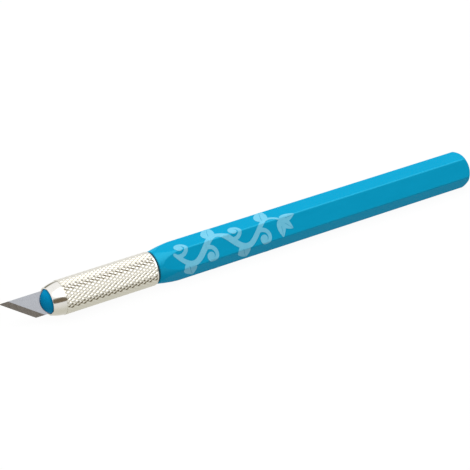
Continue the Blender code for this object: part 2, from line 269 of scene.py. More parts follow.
# Light: a soft white tent with darker openings from the horizon up, and a broad lamp, lengths in mm
TENT_WARMTH = (1.0, 0.99, 0.975)
TENT_LEVEL = 1.1
GLOW_LEVEL = 2.2
GLOW_DIRECTION = (0.30, -0.42, 0.856)
GLOW_COSINES = (0.80, 0.93)
OPENING_COLOUR = (0.19, 0.15, 0.10)
OPENING_TURN_DEG = 12.0
OPENING_SIDES = (0.76, 0.84)
OPENING_BOTTOM = (0.0, 0.04)
OPENING_TOP = (0.42, 0.80)
REAR_COLOUR = (0.26, 0.24, 0.17)
REAR_TURN_DEG = 178.0
REAR_SIDES = (0.84, 0.95)
REAR_BOTTOM = (0.0, 0.1)
REAR_TOP = (0.45, 0.70)
SKIRT_COLOUR = (0.50, 0.47, 0.38)
SKIRT_TURN_DEG = -25.0
SKIRT_SIDES = (0.86, 0.97)
SKIRT_BOTTOM = (0.0, 0.04)
SKIRT_TOP = (0.15, 0.30)
LAMP_POWER = 6.8
LAMP_SIZE = 800.0
LAMP_PLACE = (0.0, 90.0, 800.0)
FLOOR_GLOW = 0.95
FLOOR_GREY = 0.03
FLOOR_SIZE = 3000.0
FLOOR_DROP = 0.05


def seam_frame():
    """The frame of the knife's axis at the seam, in metres, from the handle's own box."""
    low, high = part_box("handle_barrel")
    return Matrix.Translation((low.x, 0.0, (low.z + high.z) / 2))


def across_flats():
    """The handle's width across its flats, in millimetres."""
    low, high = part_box("handle_barrel")
    return (high.z - low.z) / MM


def handle_length():
    """The handle's length in millimetres."""
    low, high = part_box("handle_barrel")
    return (high.x - low.x) / MM


def add_piece(name, bm, place, materials, body, slot, *replaced, sharp_deg=SHARP_DEG):
    """Turns a mesh in millimetres into a piece that rides on a body and stands for CAD nodes."""
    bmesh.ops.remove_doubles(bm, verts=bm.verts, dist=WELD_DISTANCE)
    bmesh.ops.dissolve_degenerate(bm, edges=bm.edges, dist=SLIVER_LENGTH)
    bmesh.ops.recalc_face_normals(bm, faces=bm.faces)
    mesh = bpy.data.meshes.new(name)
    bm.to_mesh(mesh)
    bm.free()
    mesh.transform(place @ Matrix.Scale(MM, 4))
    for material in materials:
        mesh.materials.append(material)
    mesh.shade_smooth()
    mesh.set_sharp_from_angle(angle=math.radians(sharp_deg))
    obj = bpy.data.objects.new(name, mesh)
    bpy.context.scene.collection.objects.link(obj)
    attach(obj, body)
    if replaced:
        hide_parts(*replaced)
    return obj


def arc(centre, radii, start_deg, end_deg, steps):
    """Points of an elliptical arc, ends included."""
    points = []
    for i in range(steps + 1):
        angle = math.radians(start_deg + (end_deg - start_deg) * i / steps)
        points.append((centre[0] + radii[0] * math.cos(angle), centre[1] + radii[1] * math.sin(angle)))
    return points


def join_rings(bm, rings, closed=False):
    """Faces between successive rings of equal count. A ring of one vertex makes a fan."""
    pairs = list(zip(rings, rings[1:]))
    if closed:
        pairs.append((rings[-1], rings[0]))
    for first, second in pairs:
        count = max(len(first), len(second))
        for i in range(count):
            j = (i + 1) % count
            corners = [
                first[i % len(first)],
                first[j % len(first)],
                second[j % len(second)],
                second[i % len(second)],
            ]
            bm.faces.new(list(dict.fromkeys(corners)))


def turned_rings(bm, profile, angles):
    """One ring of vertices about the X axis for each (x, radius) point; a zero radius gives one vertex."""
    rings = []
    for x, radius in profile:
        if radius < TINY:
            rings.append([bm.verts.new((x, 0.0, 0.0))])
            continue
        rings.append([bm.verts.new((x, radius * math.sin(a), radius * math.cos(a))) for a in angles])
    return rings


def even_angles(count):
    """Angles evenly round a full turn."""
    return [2 * math.pi * i / count for i in range(count)]


def filled(loops, lines=()):
    """Triangles that fill closed (x, y) outlines, split along extra lines. Outlines may overlap."""
    points = []
    edges = []
    faces = []
    for loop in loops:
        start = len(points)
        corners = [Vector(point) for point in loop]
        turning = sum(a.cross(b) for a, b in zip(corners, corners[1:] + corners[:1]))
        points += corners if turning > 0 else corners[::-1]
        faces.append(list(range(start, len(points))))
    for a, b in lines:
        edges.append((len(points), len(points) + 1))
        points += [Vector(a), Vector(b)]
    vertices, _, triangles, _, _, sources = delaunay_2d_cdt(points, edges, faces, TRIANGLES_INSIDE, TINY)
    return vertices, [triangle for triangle, source in zip(triangles, sources) if source]


# Handle


def flat_facing(flat):
    """The direction that one of the flats faces, as an angle from the front upwards."""
    return math.radians(FIRST_FLAT_DEG + 360 / FLAT_COUNT * flat)


def hexagon_section():
    """Points of the rounded hexagon, as (length round it, point (y, z), outward normal), and its perimeter.
    Lengths start from the middle of the front upper flat and go upwards and round the back."""
    apothem = across_flats() / 2
    half_flat = (apothem - CORNER_ROUNDING) * math.tan(math.pi / FLAT_COUNT)
    corner_arc = CORNER_ROUNDING * 2 * math.pi / FLAT_COUNT
    pitch = 2 * half_flat + corner_arc
    section = []
    for flat in range(FLAT_COUNT):
        facing = flat_facing(flat)
        normal = Vector((-math.cos(facing), math.sin(facing)))
        along = Vector((math.sin(facing), math.cos(facing)))
        for i in range(POINTS_PER_FLAT):
            t = -half_flat + 2 * half_flat * i / (POINTS_PER_FLAT - 1)
            section.append((flat * pitch + t, normal * apothem + along * t, normal))
        corner = normal * (apothem - CORNER_ROUNDING) + along * half_flat
        for i in range(1, POINTS_PER_CORNER - 1):
            share = i / (POINTS_PER_CORNER - 1)
            turned = facing + share * 2 * math.pi / FLAT_COUNT
            direction = Vector((-math.cos(turned), math.sin(turned)))
            length = flat * pitch + half_flat + share * corner_arc
            section.append((length, corner + direction * CORNER_ROUNDING, direction))
    return section, pitch * FLAT_COUNT


def soft_minimum(a, b, softness):
    """The smaller of two numbers, rounded over where they meet."""
    blend = min(max(0.5 + 0.5 * (b - a) / softness, 0.0), 1.0)
    return b + (a - b) * blend - softness * blend * (1 - blend)


def handle_outline():
    """The turned outline of the handle as (x, radius): edge rounding, long convex taper, domed tail."""
    length = handle_length()
    rise = TURNED_RADIUS - FRONT_RADIUS
    run = FRONT_TAPER_LENGTH - FRONT_EDGE_ROUNDING
    radius = (run**2 + rise**2) / (2 * rise)
    turn = math.degrees(math.asin(run / radius))
    edge_centre = (FRONT_EDGE_ROUNDING, FRONT_RADIUS - FRONT_EDGE_ROUNDING)
    edge = arc(edge_centre, (FRONT_EDGE_ROUNDING, FRONT_EDGE_ROUNDING), 180, 90 + turn, EDGE_STEPS)
    taper_centre = (FRONT_TAPER_LENGTH, TURNED_RADIUS - radius)
    taper = arc(taper_centre, (radius, radius), 90 + turn, 90, TAPER_STEPS)
    dome_start = length - TAIL_DOME_LENGTH
    barrel_run = dome_start - FRONT_TAPER_LENGTH
    barrel = []
    for i in range(1, BARREL_STEPS):
        barrel.append((FRONT_TAPER_LENGTH + barrel_run * i / BARREL_STEPS, TURNED_RADIUS))
    dome = arc((dome_start, 0.0), (TAIL_DOME_LENGTH, TURNED_RADIUS), 90, 0, DOME_STEPS)
    return edge + taper[1:] + barrel + dome


def hexagon_radius(direction, apothem):
    """How far a sharp hexagon with a flat on top reaches in a direction (y, z)."""
    facings = [flat_facing(flat) for flat in range(FLAT_COUNT)]
    reach = max(-direction.x * math.cos(f) + direction.y * math.sin(f) for f in facings)
    return apothem / reach


def hexagon_ring(bm, x, directions, across):
    """A ring of vertices on a sharp hexagon of a width across its flats, one in each direction (y, z)."""
    ring = []
    for direction in directions:
        position = direction * hexagon_radius(direction, across / 2)
        ring.append(bm.verts.new((x, position.x, position.y)))
    return ring


def taper_highlight(direction):
    """How much painted highlight the tapered front gets in a direction (y, z): most in line with one of the
    upper ridges, none in the middle of a flat or on the lower half."""
    facing = math.atan2(direction.y, -direction.x)
    upper = min(TAPER_HIGHLIGHT_RISE * max(direction.y, 0.0), 1.0)
    return upper * math.sqrt(0.5 + 0.5 * math.cos(FLAT_COUNT * facing))


def make_handle(material):
    """Hexagonal barrel with soft scalloped ends, domed at the tail and cored out from the front."""
    bm = bmesh.new()
    ridge_highlight = bm.verts.layers.float.new("ridge_highlight")
    section, _ = hexagon_section()
    apothem = across_flats() / 2
    directions = [point.normalized() for _, point, _ in section]
    reaches = [point.length for _, point, _ in section]
    # Painted highlight: the upper ridges, and the tapered front in line with them, are painted a paler blue
    highlight_weights = []
    for _, point, normal in section:
        on_ridge = point.dot(normal) > apothem + RIDGE_CLEARANCE
        hexagon_highlight = max(normal.y, 0.0) if on_ridge else 0.0
        highlight_weights.append((hexagon_highlight, taper_highlight(point.normalized())))
    rings = [[bm.verts.new((CORE_DEPTH, 0.0, 0.0))]]
    for x in (CORE_DEPTH, 0.0):
        rings.append(hexagon_ring(bm, x, directions, CORE_ACROSS_FLATS))
    for x, turned in handle_outline():
        if turned < TINY:
            rings.append([bm.verts.new((x, 0.0, 0.0))])
            continue
        ring = []
        for direction, reach, (hexagon_highlight, taper_highlight_weight) in zip(directions, reaches, highlight_weights):
            position = direction * soft_minimum(reach, turned, SCALLOP_SOFTNESS)
            ring.append(bm.verts.new((x, position.x, position.y)))
            if reach < turned:
                ring[-1][ridge_highlight] = hexagon_highlight
            elif x < FRONT_TAPER_LENGTH:
                ring[-1][ridge_highlight] = taper_highlight_weight
        rings.append(ring)
    join_rings(bm, rings)
    add_piece("handle_body", bm, seam_frame(), [material], "handle", "handle_plastic", "handle_barrel")


# Print: a leafy vine, drawn flat as (x along the handle, s round it) in millimetres


def ribbon(points, widths):
    """The outline of a band of changing width along a path."""
    left = []
    right = []
    last = len(points) - 1
    for i, (point, width) in enumerate(zip(points, widths)):
        along = (points[min(i + 1, last)] - points[max(i - 1, 0)]).normalized()
        side = Vector((-along.y, along.x)) * width / 2
        left.append(point + side)
        right.append(point - side)
    return left + right[::-1]


def swell(share, lean, fullness):
    """How wide a stem or leaf is at a share of its length. A lean below 1 puts the widest place nearer its
    base, and a fullness below 1 makes its ends blunter."""
    return math.sin(math.pi * share**lean) ** fullness


def leaf(base, angle, length, width, bend):
    """Two half leaves either side of a fine midrib gap."""
    forward = Vector((math.cos(angle), math.sin(angle)))
    across = Vector((-forward.y, forward.x))
    halves = []
    for side in (1, -1):
        outer = []
        inner = []
        for i in range(LEAF_STEPS + 1):
            t = i / LEAF_STEPS
            middle = base + forward * length * t + across * bend * length * t * t
            gap = MIDRIB_GAP * (1 - MIDRIB_THINNING * t)
            reach = gap + width / 2 * swell(t, LEAF_LEAN, LEAF_FULLNESS)
            inner.append(middle + across * side * gap)
            outer.append(middle + across * side * reach)
        halves.append(outer + inner[-2:0:-1])
    return halves


def bud(centre):
    """The outline of a round bud."""
    last_deg = 360 - 360 / BUD_SIDES
    return [Vector(point) for point in arc(centre, (BUD_RADIUS, BUD_RADIUS), 0, last_deg, BUD_SIDES - 1)]


def tendril(base, angle, hand):
    """A curl that starts along a direction and winds in on itself, with a bud at its end."""
    points = [base.copy()]
    heading = angle
    for i in range(CURL_STEPS):
        t = i / CURL_STEPS
        stride = CURL_SIZE * (1 - CURL_SHRINKING * t) * CURL_STRIDE
        winding = CURL_TURNS * 2 * math.pi / CURL_STEPS * (CURL_TIGHTNESS + CURL_TIGHTENING * t)
        heading += hand * (CURL_STEADY_TURN + winding)
        points.append(points[-1] + Vector((math.cos(heading), math.sin(heading))) * stride)
    widths = [CURL_WIDTH - CURL_THINNING * i / CURL_STEPS for i in range(CURL_STEPS + 1)]
    return [ribbon(points, widths), bud(points[-1])]


def vine_lane(middle):
    """Outlines of one winding stem: a curl fills the hollow of each bend, a leaf grows outside it, and more
    leaves end the stem."""
    wave = 2 * math.pi / VINE_WAVELENGTH

    def stem(x):
        return Vector((x, middle + VINE_AMPLITUDE * math.sin(wave * x + VINE_PHASE)))

    def heading(x):
        return math.atan2(VINE_AMPLITUDE * wave * math.cos(wave * x + VINE_PHASE), 1.0)

    points = []
    widths = []
    for i in range(STEM_STEPS + 1):
        points.append(stem(PRINT_START + (PRINT_END - PRINT_START) * i / STEM_STEPS))
        widths.append(STEM_WIDTH + STEM_SWELL * swell(i / STEM_STEPS, STEM_LEAN, STEM_FULLNESS))
    outlines = [ribbon(points, widths)]
    first_bend = math.ceil((wave * PRINT_START + VINE_PHASE) / math.pi)
    last_bend = math.floor((wave * PRINT_END + VINE_PHASE) / math.pi)
    for bend in range(first_bend, last_bend + 1):
        x = (bend * math.pi - VINE_PHASE) / wave
        side = -1 if bend % 2 else 1
        outlines += tendril(stem(x), heading(x) - side * math.radians(CURL_ANGLE_DEG), -side)
        base = x + LEAF_PLACE * VINE_WAVELENGTH
        angle = heading(base) + side * math.radians(LEAF_ANGLE_DEG)
        outlines += leaf(stem(base), angle, *LEAF_SIZE, -side * LEAF_BEND)
    for turn_deg in TIP_LEAF_ANGLES_DEG:
        angle = heading(PRINT_END) + math.radians(turn_deg)
        outlines += leaf(stem(PRINT_END), angle, *TIP_LEAF_SIZE, TIP_LEAF_BEND * turn_deg)
    return outlines


def print_folds(section, perimeter):
    """Lines that split the flat print where the handle's surface bends: along its ridges, and in both
    directions on the tapered front."""
    start = PRINT_START - PRINT_MARGINS[0]
    end = PRINT_END + PRINT_MARGINS[1]
    folds = []
    for i, (length, _, normal) in enumerate(section):
        on_flat = normal == section[i - 1][2] and normal == section[(i + 1) % len(section)][2]
        for wrap in (-1, 0, 1):
            s = length + wrap * perimeter
            folds.append(((start, s), (FRONT_TAPER_LENGTH if on_flat else end, s)))
    for i in range(int((FRONT_TAPER_LENGTH - start) / PRINT_TAPER_STEP) + 1):
        x = FRONT_TAPER_LENGTH - i * PRINT_TAPER_STEP
        folds.append(((x, -perimeter), (x, 2 * perimeter)))
    return folds


def settle_order(bm):
    """Puts edges and faces in an order that is the same in every run, which the one from solidify isn't."""
    for elements in (bm.edges, bm.faces):
        ranked = sorted(elements, key=lambda element: sorted(vert.co[:] for vert in element.verts))
        ranks = {element: rank for rank, element in enumerate(ranked)}
        elements.sort(key=ranks.get)


def make_print(material):
    """The vine as a thin film of ink that follows the handle's flats, ridges and tapered front."""
    section, perimeter = hexagon_section()
    turned = handle_outline()
    outlines = []
    for lane in range(VINE_LANES):
        middle = VINE_FIRST_LANE + lane * perimeter / VINE_LANES
        outlines += vine_lane(middle)
    points, triangles = filled(outlines, print_folds(section, perimeter))
    bm = bmesh.new()
    verts = [bm.verts.new(on_handle(point, section, perimeter, turned)) for point in points]
    for triangle in triangles:
        bm.faces.new([verts[i] for i in triangle])
    bmesh.ops.delete(bm, geom=[v for v in bm.verts if not v.link_faces], context="VERTS")
    bmesh.ops.solidify(bm, geom=bm.faces[:], thickness=-PRINT_THICKNESS)
    settle_order(bm)
    add_piece("handle_print", bm, seam_frame(), [material], "handle", "handle_plastic")


def turned_radius(x, turned):
    """The radius of a turned outline at a place along it."""
    for (x_before, r_before), (x_after, r_after) in zip(turned, turned[1:]):
        if x_before <= x < x_after:
            return r_before + (r_after - r_before) * (x - x_before) / (x_after - x_before)
    return turned[0][1] if x < turned[0][0] else turned[-1][1]


def on_handle(point, section, perimeter, turned):
    """Where a point (x, s) of the flat print lies on the handle, lifted by the ink."""
    s = (point.y - section[0][0]) % perimeter + section[0][0]
    after = next((i for i, row in enumerate(section) if row[0] > s), len(section))
    first = section[after - 1]
    second = section[after % len(section)]
    share = (s - first[0]) / ((second[0] - first[0]) % perimeter)
    place = first[1].lerp(second[1], share)
    limit = soft_minimum(place.length, turned_radius(point.x, turned), SCALLOP_SOFTNESS)
    place = place.normalized() * limit + first[2].lerp(second[2], share).normalized() * PRINT_LIFT
    return (point.x, place.x, place.y)


# Chuck


def chuck_frame():
    """The seam's frame, turned about the axis so that y lies along the blade's slot."""
    return seam_frame() @ Matrix.Rotation(math.radians(SLOT_ANGLE_DEG), 4, "X")


def knurl_cuts():
    """Where each diamond is cut across, with the share of the knurl's height there."""
    return [(0.0, 0.0), (KNURL_FLANK, 1.0), (0.5, 1.0), (1.0 - KNURL_FLANK, 1.0)]


def knurl_vertex(bm, grid, relief, p, q):
    """The vertex where cut p of one set of helical grooves crosses cut q of the other set."""
    cuts = knurl_cuts()
    per_turn = KNURL_STARTS * len(cuts)
    key = (p % per_turn, p - q)
    if key not in grid:
        p_share, p_height = cuts[p % len(cuts)]
        q_share, q_height = cuts[q % len(cuts)]
        across = p // len(cuts) + p_share
        back = q // len(cuts) + q_share
        angle = math.pi * (across + back) / KNURL_STARTS
        along = (across - back) / 2 / KNURL_PITCHES
        rear = COLLAR_REAR - COLLAR_LAND_LENGTH
        height = min(p_height, q_height)
        radius = COLLAR_RADIUS - KNURL_DEPTH * (1 - height)
        x = rear + (COLLAR_SHOULDER - rear) * along
        grid[key] = bm.verts.new((x, radius * math.sin(angle), radius * math.cos(angle)))
        grid[key][relief] = height
    return grid[key]


def knurl_faces(bm, relief):
    """Flat-topped diamonds between two crossed sets of helical V grooves. Gives the rear and front rings."""
    cut_count = len(knurl_cuts())
    per_turn = KNURL_STARTS * cut_count
    last = 2 * KNURL_PITCHES * cut_count
    grid = {}
    for p in range(per_turn):
        for step in range(-1, last + 1):
            q = p - step
            corners = [(p, q), (p + 1, q), (p + 1, q + 1), (p, q + 1)]
            kept = [corner for corner in corners if 0 <= corner[0] - corner[1] <= last]
            if len(kept) < 3:
                continue
            verts = [knurl_vertex(bm, grid, relief, *corner) for corner in kept]
            heights = [vert[relief] for vert in verts]
            if len(verts) == 4 and heights[0] + heights[2] != heights[1] + heights[3]:
                split = 0 if heights[0] != heights[2] else 1
                a, b, c, d = verts[split:] + verts[:split]
                bm.faces.new((a, b, c))
                bm.faces.new((a, c, d))
            else:
                bm.faces.new(verts)
    rear = [grid[(p, 0)] for p in range(per_turn)]
    front = [grid[((p + last) % per_turn, last)] for p in range(per_turn)]
    return rear, front


def collar_nose():
    """The plain nose as (x, radius): an arc that leaves the grip at a slight slope and steepens forwards."""
    run = COLLAR_SHOULDER - COLLAR_RIM
    drop = COLLAR_NOSE_RADIUS - COLLAR_RIM_RADIUS
    turn_deg = 2 * (math.degrees(math.atan2(drop, run)) - COLLAR_NOSE_START_DEG)
    radius = math.hypot(run, drop) / (2 * math.sin(math.radians(turn_deg / 2)))
    slope = math.radians(COLLAR_NOSE_START_DEG)
    centre_x = COLLAR_SHOULDER + radius * math.sin(slope)
    centre_radius = COLLAR_NOSE_RADIUS - radius * math.cos(slope)
    start_deg = 90 + COLLAR_NOSE_START_DEG
    end_deg = start_deg + turn_deg
    return arc((centre_x, centre_radius), (radius, radius), start_deg, end_deg, COLLAR_NOSE_STEPS)


def make_collar(material):
    """The screw collar: a turned shell with a diamond knurl, a plain nose and a clamping cone inside."""
    bm = bmesh.new()
    relief = bm.verts.layers.float.new("relief")
    rear, front = knurl_faces(bm, relief)
    angles = [math.atan2(vert.co.y, vert.co.z) for vert in front]
    lip = COLLAR_LIP_ROUNDING
    thread_end = COLLAR_REAR - COLLAR_THREAD_LENGTH
    land = COLLAR_RADIUS - COLLAR_LAND_DROP
    outer_lip = (COLLAR_RIM + lip, COLLAR_RIM_RADIUS - lip)
    inner_lip = (COLLAR_RIM + lip, COLLAR_MOUTH_RADIUS + lip)
    profile = collar_nose()[:-1]
    profile += arc(outer_lip, (lip, lip), COLLAR_LIP_START_DEG, 180, COLLAR_LIP_STEPS)
    profile += arc(inner_lip, (lip, lip), 180, 270, COLLAR_LIP_STEPS)
    profile += [
        (COLLAR_RIM + COLLAR_CONE_LENGTH, COLLAR_BORE_RADIUS),
        (thread_end, COLLAR_BORE_RADIUS),
        (thread_end, COLLAR_THREAD_RADIUS),
        (COLLAR_REAR, COLLAR_THREAD_RADIUS),
        (COLLAR_REAR, land - COLLAR_EDGE_CHAMFER),
        (COLLAR_REAR - COLLAR_EDGE_CHAMFER, land),
        (COLLAR_REAR - COLLAR_LAND_LENGTH, land),
    ]
    rings = turned_rings(bm, profile, angles)
    for ring in rings:
        for vert in ring:
            vert[relief] = 1.0
    join_rings(bm, [front, *rings])
    rear_angle = math.atan2(rear[0].co.y, rear[0].co.z)
    first = angles.index(min(angles, key=lambda a: abs(a - rear_angle)))
    join_rings(bm, [rings[-1][first:] + rings[-1][:first], rear])
    add_piece("collar_shell", bm, chuck_frame(), [material], "collar", "collar_metal", "knurled_collar")


def make_washer(material):
    """The thin washer at the seam, with rounded edges; its dark teal colour doubles as painted shade in the
    seam's gap.
    """
    bm = bmesh.new()
    edge = WASHER_EDGE_ROUNDING
    back = -FIT_GAP
    front = back - WASHER_THICKNESS
    profile = arc((front + edge, WASHER_OUTER_RADIUS - edge), (edge, edge), 180, 90, WASHER_EDGE_STEPS)
    profile += arc((back - edge, WASHER_OUTER_RADIUS - edge), (edge, edge), 90, 0, WASHER_EDGE_STEPS)
    profile += [(back, WASHER_INNER_RADIUS), (front, WASHER_INNER_RADIUS)]
    join_rings(bm, turned_rings(bm, profile, even_angles(TURNED_SIDES)), closed=True)
    add_piece("seam_washer", bm, chuck_frame(), [material], "washer", "washer_rubber", "friction_washer")


def thread_faces(bm, front, back, root):
    """A right-hand V thread between two planes, as a grid whose rows follow the helix. Rows that run past an
    end are squeezed onto it, where a chamfer has brought the thread down to its root."""
    rows = int((back - front) / THREAD_PITCH + THREAD_SPARE_TURNS) * THREAD_ROWS
    grid = {}
    for row in range(rows):
        tooth = abs((row % THREAD_ROWS) / THREAD_ROWS - 0.5) * 2
        flank = THREAD_DEPTH * ((1 + 2 * THREAD_FLAT) * tooth - THREAD_FLAT)
        for i, angle in enumerate(even_angles(TURNED_SIDES)):
            x = front + THREAD_PITCH * (row / THREAD_ROWS - 1 - i / TURNED_SIDES)
            x = min(max(x, front), back)
            chamfer = min(x - front, back - x) / THREAD_CHAMFER * THREAD_DEPTH
            radius = root + min(max(flank, 0.0), THREAD_DEPTH, chamfer)
            grid[(row, i)] = bm.verts.new((x, radius * math.sin(angle), radius * math.cos(angle)))
    for row in range(THREAD_ROWS, rows - 1):
        for i in range(TURNED_SIDES):
            j = (i + 1) % TURNED_SIDES
            shift = -THREAD_ROWS if j == 0 else 0
            corners = [(row, i), (row + 1, i), (row + 1 + shift, j), (row + shift, j)]
            bm.faces.new([grid[corner] for corner in corners])


def make_spigot(material):
    """The collet's fixed end: a threaded stub in front of the seam, on a hexagonal shank behind it."""
    bm = bmesh.new()
    angles = even_angles(TURNED_SIDES)
    directions = [Vector((math.sin(a), math.cos(a))) for a in angles]
    root = THREAD_RADIUS - THREAD_DEPTH
    thread_back = -RELIEF_LENGTH - WASHER_THICKNESS
    thread_faces(bm, SPIGOT_FRONT, thread_back, root)
    join_rings(bm, turned_rings(bm, [(SPIGOT_FRONT, 0.0), (SPIGOT_FRONT, root)], angles))
    shank = [hexagon_ring(bm, x, directions, SHANK_ACROSS_FLATS) for x in (-FIT_GAP, SHANK_LENGTH)]
    relief = [
        (thread_back, root),
        (thread_back, RELIEF_RADIUS),
        (-FIT_GAP, RELIEF_RADIUS),
    ]
    core = [
        (SHANK_LENGTH, SPIGOT_CORE_RADIUS),
        (SPIGOT_FRONT / 2, SPIGOT_CORE_RADIUS),
        (SPIGOT_FRONT / 2, 0.0),
    ]
    join_rings(bm, turned_rings(bm, relief, angles) + shank + turned_rings(bm, core, angles))
    add_piece("spigot_thread", bm, chuck_frame(), [material], "handle", "collet_plastic", "collet_spigot")


def jaw_outline():
    """The outline of both jaws together as (x, radius): domed nose, clamping cone, head, neck and root."""
    half_slot = SLOT_WIDTH / 2
    root = SPIGOT_FRONT - JAW_ROOT_GAP
    dome_radius = (JAW_NOSE_RADIUS**2 + JAW_NOSE_LENGTH**2) / (2 * JAW_NOSE_LENGTH)
    dome_centre = (COLLAR_RIM - JAW_NOSE_LENGTH + dome_radius, 0.0)
    turn = math.degrees(math.asin(JAW_NOSE_RADIUS / dome_radius))
    start = math.degrees(math.asin(half_slot / dome_radius))
    nose = arc(dome_centre, (dome_radius, dome_radius), 180 - start, 180 - turn, JAW_NOSE_STEPS)
    return nose + [
        (JAW_HEAD_FRONT, JAW_HEAD_RADIUS),
        (JAW_HEAD_BACK, JAW_HEAD_RADIUS),
        (JAW_HEAD_BACK + JAW_SHOULDER_LENGTH, JAW_NECK_RADIUS),
        (root - JAW_ROOT_LENGTH, JAW_NECK_RADIUS),
        (root - JAW_ROOT_LENGTH / 2, JAW_ROOT_RADIUS),
        (root, JAW_ROOT_RADIUS),
        (root, half_slot),
    ]


def make_jaw(name, side, body, node, material):
    """One half-round jaw, with small roundings along the edges of the blade's slot."""
    bm = bmesh.new()
    half_slot = SLOT_WIDTH / 2
    rings = []
    for x, radius in jaw_outline():
        start = math.asin(min(half_slot / radius, 1.0))
        if start > math.pi / 2 - TINY:
            rings.append([bm.verts.new((x, 0.0, side * half_slot))])
            continue
        ring = []
        for i in range(JAW_STEPS + 1):
            angle = start + (math.pi - 2 * start) * i / JAW_STEPS
            ring.append(bm.verts.new((x, radius * math.cos(angle), side * radius * math.sin(angle))))
        rings.append(ring)
    join_rings(bm, rings)
    jaw = add_piece(name, bm, chuck_frame(), [material], body, "collet_plastic", node)
    bevel = jaw.modifiers.new("SlotEdges", "BEVEL")
    bevel.width = JAW_EDGE_ROUNDING * MM
    bevel.segments = JAW_EDGE_SEGMENTS
    bevel.limit_method = "ANGLE"
    bevel.angle_limit = math.radians(JAW_EDGE_DEG)


def make_blade(flat_material, bevel_material):
    """A flat strip with a slanted edge ground from both sides, and an oblong hole in its hidden tang."""
    half = BLADE_WIDTH / 2
    tip = Vector((BLADE_TIP, half))
    heel = Vector((BLADE_HEEL, -half))
    inset = BEVEL_WIDTH / abs((heel - tip).normalized().y)
    tip_inner = tip + Vector((inset, 0.0))
    heel_inner = heel + Vector((inset, 0.0))
    outline = [
        tip_inner,
        heel_inner,
        Vector((BLADE_TANG - BLADE_TANG_CHAMFER, -half)),
        Vector((BLADE_TANG, -half + BLADE_TANG_CHAMFER)),
        Vector((BLADE_TANG, half - BLADE_TANG_CHAMFER)),
        Vector((BLADE_TANG - BLADE_TANG_CHAMFER, half)),
    ]
    radius = BLADE_SLOT_WIDTH / 2
    front, back = BLADE_SLOT_ENDS
    hole = arc((front + radius, 0), (radius, radius), 90, 270, BLADE_SLOT_STEPS)
    hole += arc((back - radius, 0), (radius, radius), 270, 450, BLADE_SLOT_STEPS)
    bm = bmesh.new()
    blade_sides(bm, outline, hole, tip, heel)
    materials = [flat_material, bevel_material]
    place = chuck_frame()
    add_piece("blade_strip", bm, place, materials, "blade", "blade_steel", "blade", sharp_deg=BLADE_SHARP_DEG)


def rounded(point):
    """A point as a key that finds the vertex there."""
    return (round(point.x, MATCH_DIGITS), round(point.y, MATCH_DIGITS))


def blade_sides(bm, outline, hole, tip, heel):
    """Both flats with the hole, both bevels down to the cutting edge, and the walls between them."""
    hole_points = [Vector(point) for point in hole]
    points, triangles = filled([outline, hole_points])
    inside = [t for t in triangles if not in_hole(sum((points[i] for i in t), Vector((0, 0))) / 3)]
    levels = []
    for z in (-BLADE_THICKNESS / 2, BLADE_THICKNESS / 2):
        verts = [bm.verts.new((p.x, p.y, z)) for p in points]
        for triangle in inside:
            bm.faces.new([verts[i] for i in triangle])
        edge_z = math.copysign(EDGE_THICKNESS / 2, z)
        edge = [bm.verts.new((p.x, p.y, edge_z)) for p in (tip, heel)]
        found = {rounded(p): vert for p, vert in zip(points, verts)}
        rim = [found[rounded(p)] for p in outline]
        hole_rim = [found[rounded(p)] for p in hole_points]
        bevel = bm.faces.new((rim[0], rim[1], edge[1], edge[0]))
        bevel.material_index = 1
        levels.append((rim, hole_rim, edge))
    (low_rim, low_hole, low_edge), (high_rim, high_hole, high_edge) = levels
    walls = [low_rim[1:] + [low_rim[0]], high_rim[1:] + [high_rim[0]]]
    for i in range(len(outline) - 1):
        bm.faces.new((walls[0][i], walls[0][i + 1], walls[1][i + 1], walls[1][i]))
    for i in range(len(low_hole)):
        j = (i + 1) % len(low_hole)
        bm.faces.new((low_hole[i], low_hole[j], high_hole[j], high_hole[i]))
    bm.faces.new((low_edge[0], low_edge[1], high_edge[1], high_edge[0]))
    for i in (0, 1):
        bm.faces.new((low_rim[i], low_edge[i], high_edge[i], high_rim[i]))


def in_hole(point):
    """Whether a point of the blade's flat lies in its oblong hole."""
    radius = BLADE_SLOT_WIDTH / 2
    x = min(max(point.x, BLADE_SLOT_ENDS[0] + radius), BLADE_SLOT_ENDS[1] - radius)
    return (point - Vector((x, 0.0))).length < radius


# Materials


def scaled(colour, share):
    """A colour with each of its channels multiplied."""
    return tuple(share * value for value in colour)


def principled(name, colour, roughness, metallic=0.0, specular=0.5):
    """A material with constant values on its shader. Returns the material, its tree and the shader."""
    material = bpy.data.materials.new(name)
    material.use_nodes = True
    tree = material.node_tree
    shader = tree.nodes["Principled BSDF"]
    shader.inputs["Base Color"].default_value = (*colour, 1.0)
    shader.inputs["Roughness"].default_value = roughness
    shader.inputs["Metallic"].default_value = metallic
    shader.inputs["Specular IOR Level"].default_value = specular
    return material, tree, shader


def object_coordinates(tree, scale, turn_deg=0.0):
    """Coordinates along the knife in millimetres, turned about its axis and then scaled."""
    source = tree.nodes.new("ShaderNodeTexCoord")
    turn = tree.nodes.new("ShaderNodeMapping")
    turn.vector_type = "POINT"
    turn.inputs["Rotation"].default_value = (math.radians(turn_deg), 0.0, 0.0)
    stretch = tree.nodes.new("ShaderNodeMapping")
    stretch.inputs["Scale"].default_value = [value / MM for value in scale]
    tree.links.new(source.outputs["Object"], turn.inputs["Vector"])
    tree.links.new(turn.outputs["Vector"], stretch.inputs["Vector"])
    return stretch.outputs["Vector"]


def noise(tree, scale, detail=MEDIUM_DETAIL, turn_deg=0.0):
    """Noise with so many features per millimetre along each axis."""
    texture = tree.nodes.new("ShaderNodeTexNoise")
    texture.inputs["Scale"].default_value = 1.0
    texture.inputs["Detail"].default_value = detail
    tree.links.new(object_coordinates(tree, scale, turn_deg), texture.inputs["Vector"])
    return texture.outputs["Fac"]


